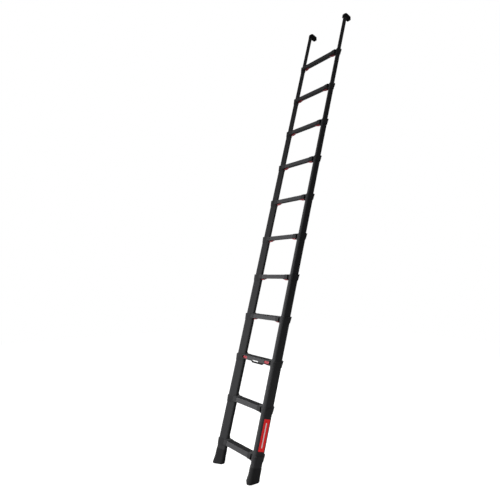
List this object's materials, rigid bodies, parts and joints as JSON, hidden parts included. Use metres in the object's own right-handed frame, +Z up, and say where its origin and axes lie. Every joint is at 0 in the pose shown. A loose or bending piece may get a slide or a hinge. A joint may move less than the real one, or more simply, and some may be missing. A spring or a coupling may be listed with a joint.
{
  "type": "telescopic ladder",
  "caption": "Leaning telescopic ladder with nesting rounded-triangle stile tubes, collared rungs, red lock triggers, a carry handle, flared feet and wall-pad caps.",
  "frame": {"origin": "on the floor, midway between the two stile axes where they meet it", "axes": "+X across the rungs to the right stile seen from the climber's side, +Y towards the wall, +Z up"},
  "size_m": [0.45, 0.9648, 3.2597],
  "materials": {
    "stile_black": "satin black anodised",
    "rung_grey": "satin charcoal anodised, ribbed tread",
    "collar_black": "fine moulded texture",
    "release_red": "satin moulded",
    "plug_grey": "moulded",
    "foot_rubber": "matt rubber"
  },
  "bodies": {
    "base": {"base_tubes": "stile_black", "base_collars": "collar_black", "lower_sockets": "collar_black", "lower_rungs": "rung_grey", "release_rung": "rung_grey", "carry_handle": "collar_black", "feet": "foot_rubber"},
    "section_1": {"section_1_tubes": "stile_black", "section_1_collars": "collar_black", "section_1_rung": "rung_grey", "section_1_plugs": "plug_grey"},
    "section_2": {"section_2_tubes": "stile_black", "section_2_collars": "collar_black", "section_2_rung": "rung_grey", "section_2_plugs": "plug_grey"},
    "section_3": {"section_3_tubes": "stile_black", "section_3_collars": "collar_black", "section_3_rung": "rung_grey", "section_3_plugs": "plug_grey"},
    "section_4": {"section_4_tubes": "stile_black", "section_4_collars": "collar_black", "section_4_rung": "rung_grey", "section_4_plugs": "plug_grey"},
    "section_5": {"section_5_tubes": "stile_black", "section_5_collars": "collar_black", "section_5_rung": "rung_grey", "section_5_plugs": "plug_grey"},
    "section_6": {"section_6_tubes": "stile_black", "section_6_collars": "collar_black", "section_6_rung": "rung_grey", "section_6_plugs": "plug_grey"},
    "section_7": {"section_7_tubes": "stile_black", "section_7_collars": "collar_black", "section_7_rung": "rung_grey", "section_7_plugs": "plug_grey"},
    "section_8": {"section_8_tubes": "stile_black", "section_8_collars": "collar_black", "section_8_rung": "rung_grey", "section_8_plugs": "plug_grey"},
    "top": {"top_poles": "stile_black", "top_plugs": "plug_grey", "top_caps": "foot_rubber"},
    "release_button_left": {"release_button_left": "release_red"},
    "section_1_latch_left": {"section_1_latch_left": "release_red"},
    "section_2_latch_left": {"section_2_latch_left": "release_red"},
    "section_3_latch_left": {"section_3_latch_left": "release_red"},
    "section_4_latch_left": {"section_4_latch_left": "release_red"},
    "section_5_latch_left": {"section_5_latch_left": "release_red"},
    "section_6_latch_left": {"section_6_latch_left": "release_red"},
    "section_7_latch_left": {"section_7_latch_left": "release_red"},
    "section_8_latch_left": {"section_8_latch_left": "release_red"},
    "release_button_right": {"release_button_right": "release_red"},
    "section_1_latch_right": {"section_1_latch_right": "release_red"},
    "section_2_latch_right": {"section_2_latch_right": "release_red"},
    "section_3_latch_right": {"section_3_latch_right": "release_red"},
    "section_4_latch_right": {"section_4_latch_right": "release_red"},
    "section_5_latch_right": {"section_5_latch_right": "release_red"},
    "section_6_latch_right": {"section_6_latch_right": "release_red"},
    "section_7_latch_right": {"section_7_latch_right": "release_red"},
    "section_8_latch_right": {"section_8_latch_right": "release_red"}
  },
  "joints": [
    {"name": "section_1_slide", "type": "slide", "parent": "base", "child": "section_1", "axis": [0, 0.2588, 0.9659], "range_m": [-0.2455, 0]},
    {"name": "section_2_slide", "type": "slide", "parent": "section_1", "child": "section_2", "axis": [0, 0.2588, 0.9659], "range_m": [-0.2455, 0]},
    {"name": "section_3_slide", "type": "slide", "parent": "section_2", "child": "section_3", "axis": [0, 0.2588, 0.9659], "range_m": [-0.2455, 0]},
    {"name": "section_4_slide", "type": "slide", "parent": "section_3", "child": "section_4", "axis": [0, 0.2588, 0.9659], "range_m": [-0.2455, 0]},
    {"name": "section_5_slide", "type": "slide", "parent": "section_4", "child": "section_5", "axis": [0, 0.2588, 0.9659], "range_m": [-0.2455, 0]},
    {"name": "section_6_slide", "type": "slide", "parent": "section_5", "child": "section_6", "axis": [0, 0.2588, 0.9659], "range_m": [-0.2455, 0]},
    {"name": "section_7_slide", "type": "slide", "parent": "section_6", "child": "section_7", "axis": [0, 0.2588, 0.9659], "range_m": [-0.2455, 0]},
    {"name": "section_8_slide", "type": "slide", "parent": "section_7", "child": "section_8", "axis": [0, 0.2588, 0.9659], "range_m": [-0.2455, 0]},
    {"name": "top_slide", "type": "slide", "parent": "section_8", "child": "top", "axis": [0, 0.2588, 0.9659], "range_m": [-0.2455, 0]},
    {"name": "release_button_left_travel", "type": "slide", "parent": "base", "child": "release_button_left", "axis": [-1, 0, 0], "range_m": [0, 0.006], "stiffness_N_per_m": 150, "springref_m": 0.006},
    {"name": "section_1_latch_left_travel", "type": "slide", "parent": "section_1", "child": "section_1_latch_left", "axis": [-1, 0, 0], "range_m": [0, 0.006], "stiffness_N_per_m": 150, "springref_m": 0.006},
    {"name": "section_2_latch_left_travel", "type": "slide", "parent": "section_2", "child": "section_2_latch_left", "axis": [-1, 0, 0], "range_m": [0, 0.006], "stiffness_N_per_m": 150, "springref_m": 0.006},
    {"name": "section_3_latch_left_travel", "type": "slide", "parent": "section_3", "child": "section_3_latch_left", "axis": [-1, 0, 0], "range_m": [0, 0.006], "stiffness_N_per_m": 150, "springref_m": 0.006},
    {"name": "section_4_latch_left_travel", "type": "slide", "parent": "section_4", "child": "section_4_latch_left", "axis": [-1, 0, 0], "range_m": [0, 0.006], "stiffness_N_per_m": 150, "springref_m": 0.006},
    {"name": "section_5_latch_left_travel", "type": "slide", "parent": "section_5", "child": "section_5_latch_left", "axis": [-1, 0, 0], "range_m": [0, 0.006], "stiffness_N_per_m": 150, "springref_m": 0.006},
    {"name": "section_6_latch_left_travel", "type": "slide", "parent": "section_6", "child": "section_6_latch_left", "axis": [-1, 0, 0], "range_m": [0, 0.006], "stiffness_N_per_m": 150, "springref_m": 0.006},
    {"name": "section_7_latch_left_travel", "type": "slide", "parent": "section_7", "child": "section_7_latch_left", "axis": [-1, 0, 0], "range_m": [0, 0.006], "stiffness_N_per_m": 150, "springref_m": 0.006},
    {"name": "section_8_latch_left_travel", "type": "slide", "parent": "section_8", "child": "section_8_latch_left", "axis": [-1, 0, 0], "range_m": [0, 0.006], "stiffness_N_per_m": 150, "springref_m": 0.006},
    {"name": "release_button_right_travel", "type": "slide", "parent": "base", "child": "release_button_right", "axis": [1, 0, 0], "range_m": [0, 0.006], "stiffness_N_per_m": 150, "springref_m": 0.006},
    {"name": "section_1_latch_right_travel", "type": "slide", "parent": "section_1", "child": "section_1_latch_right", "axis": [1, 0, 0], "range_m": [0, 0.006], "stiffness_N_per_m": 150, "springref_m": 0.006},
    {"name": "section_2_latch_right_travel", "type": "slide", "parent": "section_2", "child": "section_2_latch_right", "axis": [1, 0, 0], "range_m": [0, 0.006], "stiffness_N_per_m": 150, "springref_m": 0.006},
    {"name": "section_3_latch_right_travel", "type": "slide", "parent": "section_3", "child": "section_3_latch_right", "axis": [1, 0, 0], "range_m": [0, 0.006], "stiffness_N_per_m": 150, "springref_m": 0.006},
    {"name": "section_4_latch_right_travel", "type": "slide", "parent": "section_4", "child": "section_4_latch_right", "axis": [1, 0, 0], "range_m": [0, 0.006], "stiffness_N_per_m": 150, "springref_m": 0.006},
    {"name": "section_5_latch_right_travel", "type": "slide", "parent": "section_5", "child": "section_5_latch_right", "axis": [1, 0, 0], "range_m": [0, 0.006], "stiffness_N_per_m": 150, "springref_m": 0.006},
    {"name": "section_6_latch_right_travel", "type": "slide", "parent": "section_6", "child": "section_6_latch_right", "axis": [1, 0, 0], "range_m": [0, 0.006], "stiffness_N_per_m": 150, "springref_m": 0.006},
    {"name": "section_7_latch_right_travel", "type": "slide", "parent": "section_7", "child": "section_7_latch_right", "axis": [1, 0, 0], "range_m": [0, 0.006], "stiffness_N_per_m": 150, "springref_m": 0.006},
    {"name": "section_8_latch_right_travel", "type": "slide", "parent": "section_8", "child": "section_8_latch_right", "axis": [1, 0, 0], "range_m": [0, 0.006], "stiffness_N_per_m": 150, "springref_m": 0.006}
  ]
}
